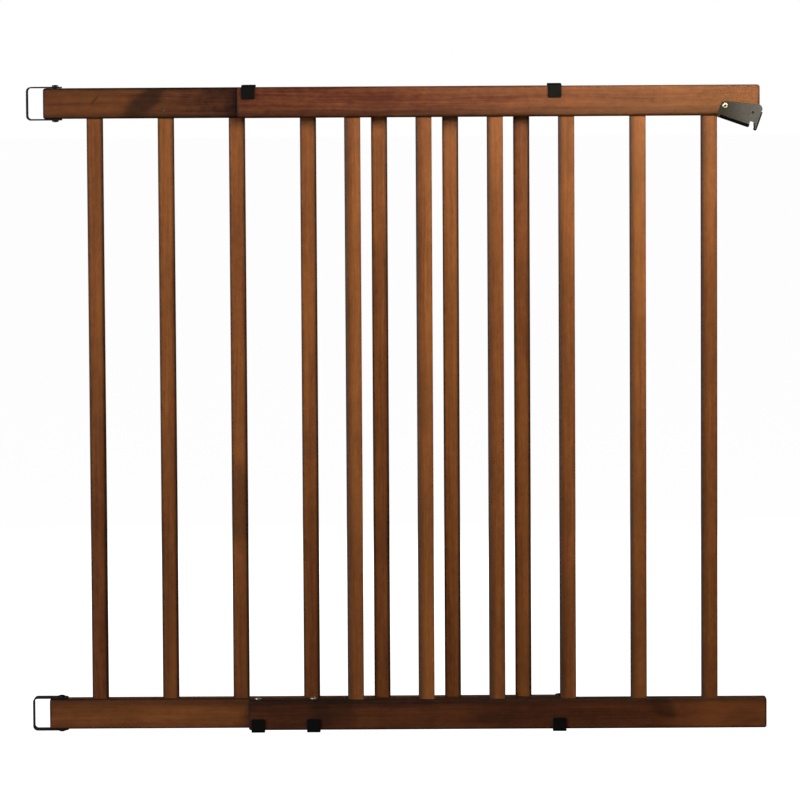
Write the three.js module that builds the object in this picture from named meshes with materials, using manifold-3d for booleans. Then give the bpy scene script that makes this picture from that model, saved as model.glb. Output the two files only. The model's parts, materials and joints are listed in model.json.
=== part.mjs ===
// Expanding wooden stair gate, 762 mm tall. Two slatted panels slide on each other to set the width.
// The rear panel hangs on two steel hinge loops, and the front panel carries the drop latch.
// Millimetres. +X runs from the hinge side to the latch side, the front faces -Y, and +Z is up.
// The origin is on the flat outer face of the lower hinge loop, at mid-height of the bottom rails.

import * as THREE from 'three';
import { mergeVertices } from 'three/addons/utils/BufferGeometryUtils.js';
import Module from 'manifold-3d';

const wasm = await Module();
wasm.setup();

// ---------- driving dimensions ----------

const GAP = 0.3;                  // air left between pieces that rest on each other
const ROUND_SIDES = 16;           // flats round a turned piece or a hole

const GATE_HEIGHT = 762;
const RAIL_LENGTH = 615;
const RAIL_HEIGHT = 36;
const RAIL_THICKNESS = 19;
const RAIL_EASE = 1.7;            // rounding of the rail's long edges
const RAIL_CORNER = 2.6;          // rounding of the rail's end corners
const PANEL_GAP = 1;              // air between the sliding panels

const SLAT_WIDTH = 19;
const SLAT_THICKNESS = 13;
const SLAT_EASE = 1.5;
const SLAT_CORNER = 2.2;
const SLAT_PITCH = 84;
const TENON_DEPTH = 10;           // how far a slat's end goes into its rail
const REAR_SLATS = 7;
const FRONT_SLATS = 6;

const LOOP_REACH = 20;            // loop's outer face to the rail's end
const LOOP_LENGTH = 42;
const STRAP_THICKNESS = 1.5;
const STRAP_WIDTH = 19;
const LOOP_BEND = 5.5;            // outer radius of the strap's bends
const LOOP_TIP = 7;               // rounding of the strap's ends
const HINGE_SCREW_X = 34;

const REAR_FIRST_SLAT = 60.5;     // rail's left end to the first slat's centre
const FRONT_OFFSET = 304.5;       // first rear slat to first front slat
const FRONT_TOP_FIRST_SLAT = 135.5;
const FRONT_BOTTOM_FIRST_SLAT = 127.5;

const BRACKET_WIDTH = 16;
const BRACKET_WALL = 2.5;
const BRACKET_GRIP = 13.5;        // how far the bracket's sides reach over the rail faces
const BRACKET_ROUND = 2;
const TOP_FRONT_BRACKET = 13.4;   // bracket centre from the front rail's left end
const BOTTOM_FRONT_BRACKET = 11.3;
const LOCK_SPACING = 65.9;        // between the two lock bolts
const TOP_REAR_BRACKET = 11.7;    // bracket centre from the rear rail's right end
const BOTTOM_REAR_BRACKET = 8.2;

const BOLT_RADIUS = 2.4;
const BOLT_HOLE_RADIUS = 2.8;
const BOLT_HEAD_RADIUS = 4.7;
const BOLT_HEAD_HEIGHT = 2.2;
const NUT_RADIUS = 4.6;
const NUT_HEIGHT = 4.8;
const NUT_POCKET = 2.8;           // depth of the rail's counterbore over the nut
const SCREW_RADIUS = 2;
const SCREW_HEAD_RADIUS = 4.1;
const SCREW_HEAD_HEIGHT = 2;
const SCREW_LENGTH = 18;
const SCREW_POINT = 4;            // length of a screw's tapered end
const CROSS_SPAN = 4.2;           // cross recess in the screw heads
const CROSS_WIDTH = 1;
const CROSS_DEPTH = 0.9;
const SOCKET_RADIUS = 2;          // hexagon recess across its corners
const SOCKET_DEPTH = 1.3;

const LATCH_FROM_END = 41;        // pivot from the front top rail's right end
const LATCH_ABOVE_UNDERSIDE = 11.7;
const LATCH_DROOP = THREE.MathUtils.degToRad(19.3);
const LEVER_SHEET = 1.2;
const LEVER_EYE = 5.3;            // rounding of the lever about its pivot
const LEVER_REACH = 43.4;         // pivot to the lever's nose
const RETURN_FACE = 44.6;         // pivot to the outer face of the nose's bent-back edge
const RETURN_TOP = 6.8;
const RETURN_DEPTH = 3.5;
const LEVER_TAPER = Math.tan(THREE.MathUtils.degToRad(10.4));
const LEVER_NOSE_ROUND = 6;
const LEVER_HEEL_ROUND = 1.5;
const HEM_TOP = -11;              // where the lower edge starts to bend back
const HEM_RADIUS = 4.6;
const HEM_START = -1.8;
const HEM_END = 34.2;
const HEM_FLANGE = 6;             // flat part of the lower edge, under the rail
const NOTCH_LEFT = 34.1;
const NOTCH_RIGHT = 38.2;
const NOTCH_TOP = -7.7;
const NOTCH_ROUND = 0.8;
const TOOTH_TIP = [42.4, -14.4];
const TOOTH_ROUND = 2.1;
const SPACER_THICKNESS = 1;
const SPACER_RADIUS = 5;
const PIVOT_RADIUS = 2;
const PIVOT_HOLE_RADIUS = 2.35;
const PIVOT_HEAD_RADIUS = 3.6;
const PIVOT_HEAD_HEIGHT = 2;
const INSERT_RADIUS = 4;
const INSERT_LENGTH = 10;

// ---------- places worked out from them ----------

const BOTTOM_Z = 0;
const TOP_Z = GATE_HEIGHT - RAIL_HEIGHT;
const HALF_RAIL = RAIL_HEIGHT / 2;
const FRONT_Y = -(RAIL_THICKNESS + PANEL_GAP);
const PANELS_MIDDLE_Y = FRONT_Y / 2;
const PANELS_DEPTH = 2 * RAIL_THICKNESS + PANEL_GAP;
const REAR_SLAT_X = LOOP_REACH + REAR_FIRST_SLAT;
const FRONT_SLAT_X = REAR_SLAT_X + FRONT_OFFSET;
const REAR_RAIL_X = LOOP_REACH;
const REAR_RAIL_END = REAR_RAIL_X + RAIL_LENGTH;
const FRONT_TOP_X = FRONT_SLAT_X - FRONT_TOP_FIRST_SLAT;
const FRONT_BOTTOM_X = FRONT_SLAT_X - FRONT_BOTTOM_FIRST_SLAT;
const FRONT_FACE_Y = FRONT_Y - RAIL_THICKNESS / 2;
const FIRST_LOCK_X = FRONT_BOTTOM_X + BOTTOM_FRONT_BRACKET;
const LOCK_X = [FIRST_LOCK_X, FIRST_LOCK_X + LOCK_SPACING];
const TOP_FRONT_X = FRONT_TOP_X + TOP_FRONT_BRACKET;
const TOP_REAR_X = REAR_RAIL_END - TOP_REAR_BRACKET;
const BOTTOM_REAR_X = REAR_RAIL_END - BOTTOM_REAR_BRACKET;
const PIVOT_X = FRONT_TOP_X + RAIL_LENGTH - LATCH_FROM_END;
const PIVOT_Z = TOP_Z - HALF_RAIL + LATCH_ABOVE_UNDERSIDE;

// ---------- materials ----------

function finish(color, roughness, metalness) {
  return new THREE.MeshStandardMaterial({ color, roughness, metalness });
}

const WOOD = finish(0x7b4a2b, 0.5, 0);
const PALE_WOOD = finish(0x8d5932, 0.5, 0);
const DARK_WOOD = finish(0x5c3521, 0.5, 0);
const BLACK_STEEL = finish(0x26282a, 0.4, 0.6);
const BLACK_PLASTIC = finish(0x161616, 0.6, 0);
const BRIGHT_STEEL = finish(0xc9c9c6, 0.3, 1);
const DARK_STEEL = finish(0x3a3532, 0.4, 0.9);

// ---------- shape helpers ----------

// A closed geometry as a manifold solid, with its shared corners merged.
function solidOf(geometry) {
  const bare = geometry.clone();
  bare.deleteAttribute('normal');
  bare.deleteAttribute('uv');
  const merged = mergeVertices(bare, 1e-4);
  const vertProperties = new Float32Array(merged.attributes.position.array);
  const triVerts = new Uint32Array(merged.index.array);
  return new wasm.Manifold(new wasm.Mesh({ numProp: 3, vertProperties, triVerts }));
}

function geometryOf(solid) {
  const mesh = solid.getMesh();
  const geometry = new THREE.BufferGeometry();
  geometry.setAttribute('position', new THREE.BufferAttribute(new Float32Array(mesh.vertProperties), 3));
  geometry.setIndex(Array.from(mesh.triVerts));
  geometry.computeVertexNormals();
  return geometry;
}

function cut(base, cutters) {
  const solid = cutters.reduce((rest, cutter) => rest.subtract(solidOf(cutter)), solidOf(base));
  return geometryOf(solid);
}

function roundedRectangle(width, height, radius) {
  const right = width / 2 - radius;
  const top = height / 2 - radius;
  const shape = new THREE.Shape();
  shape.absarc(right, top, radius, 0, Math.PI / 2);
  shape.absarc(-right, top, radius, Math.PI / 2, Math.PI);
  shape.absarc(-right, -top, radius, Math.PI, 1.5 * Math.PI);
  shape.absarc(right, -top, radius, 1.5 * Math.PI, 2 * Math.PI);
  return shape;
}

// An outline in X and Z, given thickness along Y and centred on Y = 0.
function plate(shape, thickness, curveSegments) {
  const options = { depth: thickness, bevelEnabled: false, curveSegments };
  const geometry = new THREE.ExtrudeGeometry(shape, options);
  return geometry.translate(0, 0, -thickness / 2).rotateX(Math.PI / 2);
}

// A board centred on the origin, seen from the front as width by height, with every edge eased.
function easedBoard(width, height, thickness, corner, ease) {
  const geometry = new THREE.ExtrudeGeometry(roundedRectangle(width, height, corner), {
    depth: thickness - 2 * ease,
    bevelThickness: ease,
    bevelSize: ease,
    bevelOffset: -ease,
    bevelSegments: 1,
    curveSegments: 2,
  });
  return geometry.translate(0, 0, ease - thickness / 2).rotateX(Math.PI / 2);
}

function block(width, depth, height, x, y, z) {
  return new THREE.BoxGeometry(width, depth, height).translate(x, y, z);
}

function uprightRod(radius, fromZ, toZ, x, y, sides = ROUND_SIDES) {
  const rod = new THREE.CylinderGeometry(radius, radius, toZ - fromZ, sides).rotateX(Math.PI / 2);
  return rod.translate(x, y, (fromZ + toZ) / 2);
}

// A body turned about Z from a closed profile of [radius, z] points.
function turned(profile) {
  const points = profile.map(([radius, z]) => new THREE.Vector2(radius, z));
  return new THREE.LatheGeometry(points, ROUND_SIDES).rotateX(Math.PI / 2);
}

function tube(outer, inner, fromZ, toZ, sides = ROUND_SIDES) {
  const wall = uprightRod(outer, fromZ, toZ, 0, 0, sides);
  return cut(wall, [uprightRod(inner, fromZ - 1, toZ + 1, 0, 0)]);
}

function place(group, name, geometry, material, x, y, z) {
  const mesh = new THREE.Mesh(geometry, material);
  mesh.name = name;
  mesh.position.set(x, y, z);
  group.add(mesh);
  return mesh;
}

// ---------- wooden pieces ----------

// A rail about its own centre. Its mortises open on the side that faces the slats.
function rail(leftX, firstSlatX, slatCount, slatSide, extraCuts) {
  const centreX = leftX + RAIL_LENGTH / 2;
  const depth = TENON_DEPTH + GAP;
  const cutters = [];
  for (let i = 0; i < slatCount; i += 1) {
    const x = firstSlatX + i * SLAT_PITCH - centreX;
    const z = slatSide * (HALF_RAIL - depth / 2 + 1);
    cutters.push(block(SLAT_WIDTH + 2 * GAP, SLAT_THICKNESS + 2 * GAP, depth + 2, x, 0, z));
  }
  for (const geometry of extraCuts) {
    cutters.push(geometry.translate(-centreX, 0, 0));
  }
  return cut(easedBoard(RAIL_LENGTH, RAIL_HEIGHT, RAIL_THICKNESS, RAIL_CORNER, RAIL_EASE), cutters);
}

function slats(group, prefix, count, firstX, y) {
  const length = TOP_Z - BOTTOM_Z - RAIL_HEIGHT + 2 * TENON_DEPTH;
  const board = easedBoard(SLAT_WIDTH, length, SLAT_THICKNESS, SLAT_CORNER, SLAT_EASE);
  const middleZ = (TOP_Z + BOTTOM_Z) / 2;
  for (let i = 0; i < count; i += 1) {
    place(group, `${prefix}_slat_${i + 1}`, board, WOOD, firstX + i * SLAT_PITCH, y, middleZ);
  }
}

// Screw holes from the top (side 1) or the underside (side -1) of a rail.
function screwHole(x, side) {
  const inner = side * (HALF_RAIL - SCREW_LENGTH - GAP);
  const outer = side * (HALF_RAIL + 1);
  return uprightRod(SCREW_RADIUS + GAP, Math.min(inner, outer), Math.max(inner, outer), x, 0);
}

// A bolt hole right through a rail, with a counterbore underneath for the bracket's nut.
function boltHole(x) {
  return [
    uprightRod(BOLT_HOLE_RADIUS, -HALF_RAIL - 1, HALF_RAIL + 1, x, 0),
    uprightRod(NUT_RADIUS + 1, -HALF_RAIL - 1, -HALF_RAIL + NUT_POCKET, x, 0),
  ];
}

function insertHole(x) {
  const length = INSERT_LENGTH + 4;
  const radius = INSERT_RADIUS + GAP;
  const hole = new THREE.CylinderGeometry(radius, radius, length, ROUND_SIDES);
  return hole.translate(x, -RAIL_THICKNESS / 2 - 1 + length / 2, PIVOT_Z - TOP_Z);
}

// ---------- hinge ----------

// A flat strap bent to a U round the rail's end, open towards +X, about the rail's mid-height.
function hingeLoop() {
  const outerZ = HALF_RAIL + GAP + STRAP_THICKNESS;
  const inner = LOOP_BEND - STRAP_THICKNESS;
  const innerZ = outerZ - STRAP_THICKNESS;
  const outline = new THREE.Shape();
  outline.moveTo(LOOP_LENGTH, outerZ);
  outline.lineTo(LOOP_BEND, outerZ);
  outline.absarc(LOOP_BEND, outerZ - LOOP_BEND, LOOP_BEND, Math.PI / 2, Math.PI);
  outline.absarc(LOOP_BEND, LOOP_BEND - outerZ, LOOP_BEND, Math.PI, 1.5 * Math.PI);
  outline.lineTo(LOOP_LENGTH, -outerZ);
  outline.lineTo(LOOP_LENGTH, -innerZ);
  outline.lineTo(LOOP_BEND, -innerZ);
  outline.absarc(LOOP_BEND, LOOP_BEND - outerZ, inner, 1.5 * Math.PI, Math.PI, true);
  outline.absarc(LOOP_BEND, outerZ - LOOP_BEND, inner, Math.PI, Math.PI / 2, true);
  outline.lineTo(LOOP_LENGTH, innerZ);
  outline.closePath();
  const strap = solidOf(plate(outline, STRAP_WIDTH, 5));

  // Both ends of the strap are rounded in plan.
  const plan = roundedRectangle(2 * LOOP_LENGTH, STRAP_WIDTH, LOOP_TIP);
  const options = { depth: 4 * outerZ, bevelEnabled: false, curveSegments: 5 };
  const trim = new THREE.ExtrudeGeometry(plan, options).translate(0, 0, -2 * outerZ);
  const holes = uprightRod(SCREW_RADIUS + GAP, -2 * outerZ, 2 * outerZ, HINGE_SCREW_X, 0);
  return geometryOf(strap.intersect(solidOf(trim)).subtract(solidOf(holes)));
}

// The two bars of a cross recess that is sunk from a screw head's top.
function crossRecess(top) {
  const height = 2 * CROSS_DEPTH;
  return [
    block(CROSS_WIDTH, CROSS_SPAN, height, 0, 0, top),
    block(CROSS_SPAN, CROSS_WIDTH, height, 0, 0, top),
  ];
}

// A round-headed wood screw that points down from Z = 0, the underside of its head.
function roundScrew() {
  const rim = SCREW_HEAD_RADIUS;
  const top = SCREW_HEAD_HEIGHT;
  const screw = turned([
    [0, -SCREW_LENGTH],
    [SCREW_RADIUS, SCREW_POINT - SCREW_LENGTH],
    [SCREW_RADIUS, 0],
    [rim, 0],
    [rim, 0.3 * top],
    [0.85 * rim, 0.7 * top],
    [0.5 * rim, 0.95 * top],
    [0, top],
  ]);
  return cut(screw, crossRecess(top));
}

// ---------- slide brackets ----------

// A channel over both rails with its web above them, about the rails' mid-height and mid-depth.
function bracketChannel() {
  const outerY = PANELS_DEPTH / 2 + GAP + BRACKET_WALL;
  const innerY = outerY - BRACKET_WALL;
  const webTop = HALF_RAIL + GAP + BRACKET_WALL;
  const webUnder = HALF_RAIL + GAP;
  const lip = HALF_RAIL - BRACKET_GRIP;
  const arcY = outerY - BRACKET_ROUND;
  const arcZ = webTop - BRACKET_ROUND;
  const outline = new THREE.Shape();
  outline.moveTo(outerY, lip);
  outline.absarc(arcY, arcZ, BRACKET_ROUND, 0, Math.PI / 2);
  outline.absarc(-arcY, arcZ, BRACKET_ROUND, Math.PI / 2, Math.PI);
  outline.lineTo(-outerY, lip);
  outline.lineTo(-innerY, lip);
  outline.lineTo(-innerY, webUnder);
  outline.lineTo(innerY, webUnder);
  outline.lineTo(innerY, lip);
  outline.closePath();
  const channel = new THREE.ExtrudeGeometry(outline, {
    depth: BRACKET_WIDTH,
    bevelEnabled: false,
    curveSegments: 4,
  });
  return channel.translate(0, 0, -BRACKET_WIDTH / 2).rotateX(Math.PI / 2).rotateZ(Math.PI / 2);
}

// A top bracket, with a countersunk hole over the rail it is screwed to.
function screwedBracket(screwY) {
  const webUnder = HALF_RAIL + GAP;
  const cone = turned([
    [0, webUnder - 0.5],
    [SCREW_RADIUS + GAP, webUnder - 0.5],
    [SCREW_RADIUS + GAP, webUnder],
    [SCREW_HEAD_RADIUS + GAP, webUnder + BRACKET_WALL],
    [SCREW_HEAD_RADIUS + GAP, webUnder + BRACKET_WALL + 1],
    [0, webUnder + BRACKET_WALL + 1],
  ]);
  return cut(bracketChannel(), [cone.translate(0, screwY, 0)]);
}

// A bottom bracket: the channel turned over, with a pocket right through its web for the nut.
function boltedBracket(boltY) {
  const top = HALF_RAIL + 2 * BRACKET_WALL;
  const pocket = uprightRod(NUT_RADIUS + GAP, HALF_RAIL - 1, top, 0, boltY, 6);
  return cut(bracketChannel(), [pocket]).rotateX(Math.PI);
}

// A flat-headed screw with its head's face at Z = 0.
function flatScrew() {
  const sink = BRACKET_WALL - GAP;
  const screw = turned([
    [0, -SCREW_LENGTH],
    [SCREW_RADIUS, SCREW_POINT - SCREW_LENGTH],
    [SCREW_RADIUS, -sink],
    [SCREW_HEAD_RADIUS - GAP, 0],
    [0, 0],
  ]);
  return cut(screw, crossRecess(0));
}

// A low-headed bolt down through a bottom rail. Z = 0 is the underside of its head.
function railBolt() {
  const rim = BOLT_HEAD_RADIUS;
  const top = BOLT_HEAD_HEIGHT;
  const length = RAIL_HEIGHT + BRACKET_WALL;
  const bolt = turned([
    [0, -length],
    [BOLT_RADIUS, -length],
    [BOLT_RADIUS, 0],
    [rim, 0],
    [rim, 0.4 * top],
    [0.8 * rim, 0.9 * top],
    [0.6 * rim, top],
    [0, top],
  ]);
  return cut(bolt, [uprightRod(SOCKET_RADIUS, top - SOCKET_DEPTH, top + 1, 0, 0, 6)]);
}

// ---------- latch ----------

// The lever's face: X along its lower edge and Z up from it, with the pivot at the origin.
function leverOutline() {
  const topEdge = LEVER_EYE / Math.cos(Math.atan(LEVER_TAPER));
  const noseTop = topEdge + LEVER_REACH * LEVER_TAPER;
  const taper = Math.atan(LEVER_TAPER);
  const setback = LEVER_NOSE_ROUND * Math.tan((Math.PI / 2 - taper) / 2);
  const shape = new THREE.Shape();
  shape.moveTo(-LEVER_EYE, 0);
  shape.absarc(0, 0, LEVER_EYE, Math.PI, Math.PI / 2 + taper, true);
  shape.lineTo(LEVER_REACH - setback * Math.cos(taper), noseTop - setback * Math.sin(taper));
  shape.absarc(
    LEVER_REACH - LEVER_NOSE_ROUND,
    noseTop - setback,
    LEVER_NOSE_ROUND,
    Math.PI / 2 + taper,
    0,
    true,
  );
  shape.absarc(TOOTH_TIP[0], TOOTH_TIP[1], TOOTH_ROUND, 0, -Math.PI - LATCH_DROOP, true);
  shape.lineTo(NOTCH_RIGHT, NOTCH_TOP - NOTCH_ROUND);
  const notchZ = NOTCH_TOP - NOTCH_ROUND;
  shape.absarc(NOTCH_RIGHT - NOTCH_ROUND, notchZ, NOTCH_ROUND, 0, Math.PI / 2);
  shape.absarc(NOTCH_LEFT + NOTCH_ROUND, notchZ, NOTCH_ROUND, Math.PI / 2, Math.PI);
  shape.lineTo(NOTCH_LEFT, HEM_TOP);
  shape.lineTo(HEM_START, HEM_TOP);
  shape.lineTo(HEM_START, HEM_TOP - HEM_RADIUS);
  const heelX = LEVER_HEEL_ROUND - LEVER_EYE;
  const heelZ = HEM_TOP - HEM_RADIUS + LEVER_HEEL_ROUND;
  shape.absarc(heelX, heelZ, LEVER_HEEL_ROUND, -Math.PI / 2, -Math.PI, true);
  shape.closePath();
  return shape;
}

// The nose's right edge, bent back down to the tooth.
function leverReturn() {
  const height = RETURN_TOP - TOOTH_TIP[1];
  const depth = LEVER_SHEET + RETURN_DEPTH;
  const y = (depth - LEVER_SHEET) / 2;
  const z = (RETURN_TOP + TOOTH_TIP[1]) / 2;
  return block(LEVER_SHEET, depth, height, RETURN_FACE - LEVER_SHEET / 2, y, z);
}

// The lower edge, bent back under the rail: an arc and a short flat, run along X.
function leverHem() {
  const front = -LEVER_SHEET / 2;
  const bendY = front + HEM_RADIUS;
  const inner = HEM_RADIUS - LEVER_SHEET;
  const section = new THREE.Shape();
  section.moveTo(front, HEM_TOP);
  section.absarc(bendY, HEM_TOP, HEM_RADIUS, Math.PI, 1.5 * Math.PI);
  section.lineTo(bendY + HEM_FLANGE, HEM_TOP - HEM_RADIUS);
  section.lineTo(bendY + HEM_FLANGE, HEM_TOP - inner);
  section.lineTo(bendY, HEM_TOP - inner);
  section.absarc(bendY, HEM_TOP, inner, 1.5 * Math.PI, Math.PI, true);
  section.closePath();
  const length = HEM_END - HEM_START;
  const options = { depth: length, bevelEnabled: false, curveSegments: 6 };
  const hem = new THREE.ExtrudeGeometry(section, options);
  hem.rotateX(Math.PI / 2).rotateZ(Math.PI / 2).translate(HEM_START, 0, 0);

  // The hem's right end is rounded where it meets the notch.
  const trim = roundedRectangle(2 * length, 2 * HEM_RADIUS, HEM_RADIUS / 2);
  const rounded = plate(trim, 6 * HEM_RADIUS, 6).translate(HEM_END - length, 0, HEM_TOP);
  return solidOf(hem).intersect(solidOf(rounded));
}

function latchLever() {
  const radius = PIVOT_HOLE_RADIUS;
  const hole = new THREE.CylinderGeometry(radius, radius, 4 * LEVER_SHEET, ROUND_SIDES);
  const face = solidOf(plate(leverOutline(), LEVER_SHEET, 6));
  return geometryOf(face.add(leverHem()).add(solidOf(leverReturn())).subtract(solidOf(hole)));
}

// The pivot bolt points along +Y from Y = 0, the back of its head.
function pivotBolt(length) {
  const rim = PIVOT_HEAD_RADIUS;
  const top = PIVOT_HEAD_HEIGHT;
  const bolt = turned([
    [0, -length],
    [PIVOT_RADIUS, -length],
    [PIVOT_RADIUS, 0],
    [rim, 0],
    [rim, 0.5 * top],
    [0.85 * rim, 0.9 * top],
    [0.65 * rim, top],
    [0, top],
  ]);
  const socket = uprightRod(0.8 * SOCKET_RADIUS, top - SOCKET_DEPTH, top + 1, 0, 0, 6);
  return cut(bolt, [socket]).rotateX(Math.PI / 2);
}

// ---------- assembly ----------

const gate = new THREE.Group();

// The two hinge loops stay with the wall. The rest of the gate turns on the four hinge screws.
const hingeLoops = new THREE.Group();
gate.add(hingeLoops);
const rearPanel = new THREE.Group();
gate.add(rearPanel);
const hinges = [
  { name: 'lower', z: BOTTOM_Z },
  { name: 'upper', z: TOP_Z },
];
for (const { name, z } of hinges) {
  place(hingeLoops, `${name}_hinge_loop`, hingeLoop(), BLACK_STEEL, 0, 0, z);
  const seat = HALF_RAIL + 2 * GAP + STRAP_THICKNESS;
  place(rearPanel, `${name}_hinge_screw_top`, roundScrew(), DARK_STEEL, HINGE_SCREW_X, 0, z + seat);
  const underName = `${name}_hinge_screw_under`;
  const under = place(rearPanel, underName, roundScrew(), DARK_STEEL, HINGE_SCREW_X, 0, z - seat);
  under.rotation.x = Math.PI;
}

// Rear panel: the hinge side.
const hingeHoles = () => [screwHole(HINGE_SCREW_X, 1), screwHole(HINGE_SCREW_X, -1)];
const rearRailX = REAR_RAIL_X + RAIL_LENGTH / 2;
const rearTopHoles = [...hingeHoles(), screwHole(TOP_REAR_X, 1)];
const rearBottomHoles = [...hingeHoles(), ...boltHole(BOTTOM_REAR_X)];
const rearTop = rail(REAR_RAIL_X, REAR_SLAT_X, REAR_SLATS, -1, rearTopHoles);
const rearBottom = rail(REAR_RAIL_X, REAR_SLAT_X, REAR_SLATS, 1, rearBottomHoles);
place(rearPanel, 'rear_top_rail', rearTop, WOOD, rearRailX, 0, TOP_Z);
place(rearPanel, 'rear_bottom_rail', rearBottom, WOOD, rearRailX, 0, BOTTOM_Z);
slats(rearPanel, 'rear', REAR_SLATS, REAR_SLAT_X, 0);

// Front panel: the latch side.
const frontPanel = new THREE.Group();
gate.add(frontPanel);
const frontTopHoles = [screwHole(TOP_FRONT_X, 1), insertHole(PIVOT_X)];
const frontTop = rail(FRONT_TOP_X, FRONT_SLAT_X, FRONT_SLATS, -1, frontTopHoles);
const frontBottom = rail(FRONT_BOTTOM_X, FRONT_SLAT_X, FRONT_SLATS, 1, LOCK_X.flatMap(boltHole));
const frontTopMiddle = FRONT_TOP_X + RAIL_LENGTH / 2;
const frontBottomMiddle = FRONT_BOTTOM_X + RAIL_LENGTH / 2;
place(frontPanel, 'front_top_rail', frontTop, PALE_WOOD, frontTopMiddle, FRONT_Y, TOP_Z);
place(frontPanel, 'front_bottom_rail', frontBottom, DARK_WOOD, frontBottomMiddle, FRONT_Y, BOTTOM_Z);
slats(frontPanel, 'front', FRONT_SLATS, FRONT_SLAT_X, FRONT_Y);

// Top brackets, each screwed down into the rail of its own panel.
const topBrackets = [
  { group: frontPanel, name: 'front_top', x: TOP_FRONT_X, y: FRONT_Y },
  { group: rearPanel, name: 'rear_top', x: TOP_REAR_X, y: 0 },
];
for (const { group, name, x, y } of topBrackets) {
  const bracket = screwedBracket(y - PANELS_MIDDLE_Y);
  place(group, `${name}_bracket`, bracket, BLACK_PLASTIC, x, PANELS_MIDDLE_Y, TOP_Z);
  const faceZ = TOP_Z + HALF_RAIL + GAP + BRACKET_WALL;
  place(group, `${name}_bracket_screw`, flatScrew(), DARK_STEEL, x, y, faceZ);
}

// Bottom brackets, each held by a bolt down through its rail into a nut in the bracket's web.
const bottomBrackets = [
  { group: frontPanel, name: 'front_bottom_bracket_1', bolt: 'lock_bolt_1', x: LOCK_X[0], y: FRONT_Y },
  { group: frontPanel, name: 'front_bottom_bracket_2', bolt: 'lock_bolt_2', x: LOCK_X[1], y: FRONT_Y },
  { group: rearPanel, name: 'rear_bottom_bracket', bolt: 'rear_bracket_bolt', x: BOTTOM_REAR_X, y: 0 },
];
for (const { group, name, bolt, x, y } of bottomBrackets) {
  // The turned-over channel has its Y reversed, so the nut's pocket is asked for on the other side.
  const bracket = boltedBracket(PANELS_MIDDLE_Y - y);
  place(group, name, bracket, BLACK_PLASTIC, x, PANELS_MIDDLE_Y, BOTTOM_Z);
  const steel = group === frontPanel ? BRIGHT_STEEL : DARK_STEEL;
  place(group, bolt, railBolt(), steel, x, y, BOTTOM_Z + HALF_RAIL + GAP);
  const nutZ = BOTTOM_Z - HALF_RAIL - BRACKET_WALL;
  place(group, `${bolt}_nut`, tube(NUT_RADIUS, BOLT_HOLE_RADIUS, 0, NUT_HEIGHT, 6), steel, x, y, nutZ);
}

// Latch: a spacer ring, the lever and the pivot bolt, which turns in an insert in the rail.
const latch = new THREE.Group();
latch.position.set(PIVOT_X, FRONT_FACE_Y, PIVOT_Z);
frontPanel.add(latch);
const spacer = tube(SPACER_RADIUS, PIVOT_HOLE_RADIUS, 0, SPACER_THICKNESS).rotateX(Math.PI / 2);
place(latch, 'latch_spacer', spacer, BRIGHT_STEEL, 0, -GAP, 0);
const insert = tube(INSERT_RADIUS, PIVOT_HOLE_RADIUS, -INSERT_LENGTH, 0).rotateX(Math.PI / 2);
place(latch, 'latch_insert', insert, BRIGHT_STEEL, 0, GAP, 0);
const leverY = -(2 * GAP + SPACER_THICKNESS + LEVER_SHEET / 2);
const lever = place(latch, 'latch_lever', latchLever(), BLACK_STEEL, 0, leverY, 0);
lever.rotation.y = LATCH_DROOP;
const headY = leverY - LEVER_SHEET / 2 - GAP;
place(latch, 'latch_pivot_bolt', pivotBolt(INSERT_LENGTH - 1 - headY), BRIGHT_STEEL, 0, headY, 0);

export default gate;
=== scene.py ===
"""Looks of an expanding wooden stair gate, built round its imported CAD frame.

Lengths inside the builders are in millimetres, in the frame's own axes: X runs along the gate
from the hinges to the latch, Y away from the viewer, Z up. MM turns them into metres at the end.
"""

import json
import math

import bmesh
import bpy
from mathutils import Matrix, Vector, noise


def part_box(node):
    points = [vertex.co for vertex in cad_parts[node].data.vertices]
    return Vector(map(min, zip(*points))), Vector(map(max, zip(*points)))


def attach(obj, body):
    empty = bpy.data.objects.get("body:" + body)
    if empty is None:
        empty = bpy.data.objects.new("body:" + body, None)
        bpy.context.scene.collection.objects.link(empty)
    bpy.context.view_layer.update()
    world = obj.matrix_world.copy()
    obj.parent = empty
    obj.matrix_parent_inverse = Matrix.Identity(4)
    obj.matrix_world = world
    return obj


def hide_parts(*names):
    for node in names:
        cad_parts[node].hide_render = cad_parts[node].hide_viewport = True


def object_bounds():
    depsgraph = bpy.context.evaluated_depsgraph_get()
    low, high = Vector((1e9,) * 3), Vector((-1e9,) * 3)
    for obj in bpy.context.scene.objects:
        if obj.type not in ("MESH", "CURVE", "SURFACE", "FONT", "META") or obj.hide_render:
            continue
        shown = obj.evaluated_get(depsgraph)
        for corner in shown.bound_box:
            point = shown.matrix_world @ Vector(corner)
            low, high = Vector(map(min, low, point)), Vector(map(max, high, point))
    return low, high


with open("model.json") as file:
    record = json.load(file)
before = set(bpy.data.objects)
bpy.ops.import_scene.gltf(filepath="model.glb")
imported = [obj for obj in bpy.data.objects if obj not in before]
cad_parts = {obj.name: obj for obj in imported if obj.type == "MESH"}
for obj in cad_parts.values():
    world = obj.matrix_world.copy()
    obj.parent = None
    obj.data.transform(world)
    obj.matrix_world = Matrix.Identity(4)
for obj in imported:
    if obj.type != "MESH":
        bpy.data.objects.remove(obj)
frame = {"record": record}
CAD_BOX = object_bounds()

MM = 0.001
GAP = 0.3  # air that the CAD leaves between touching pieces

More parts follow.
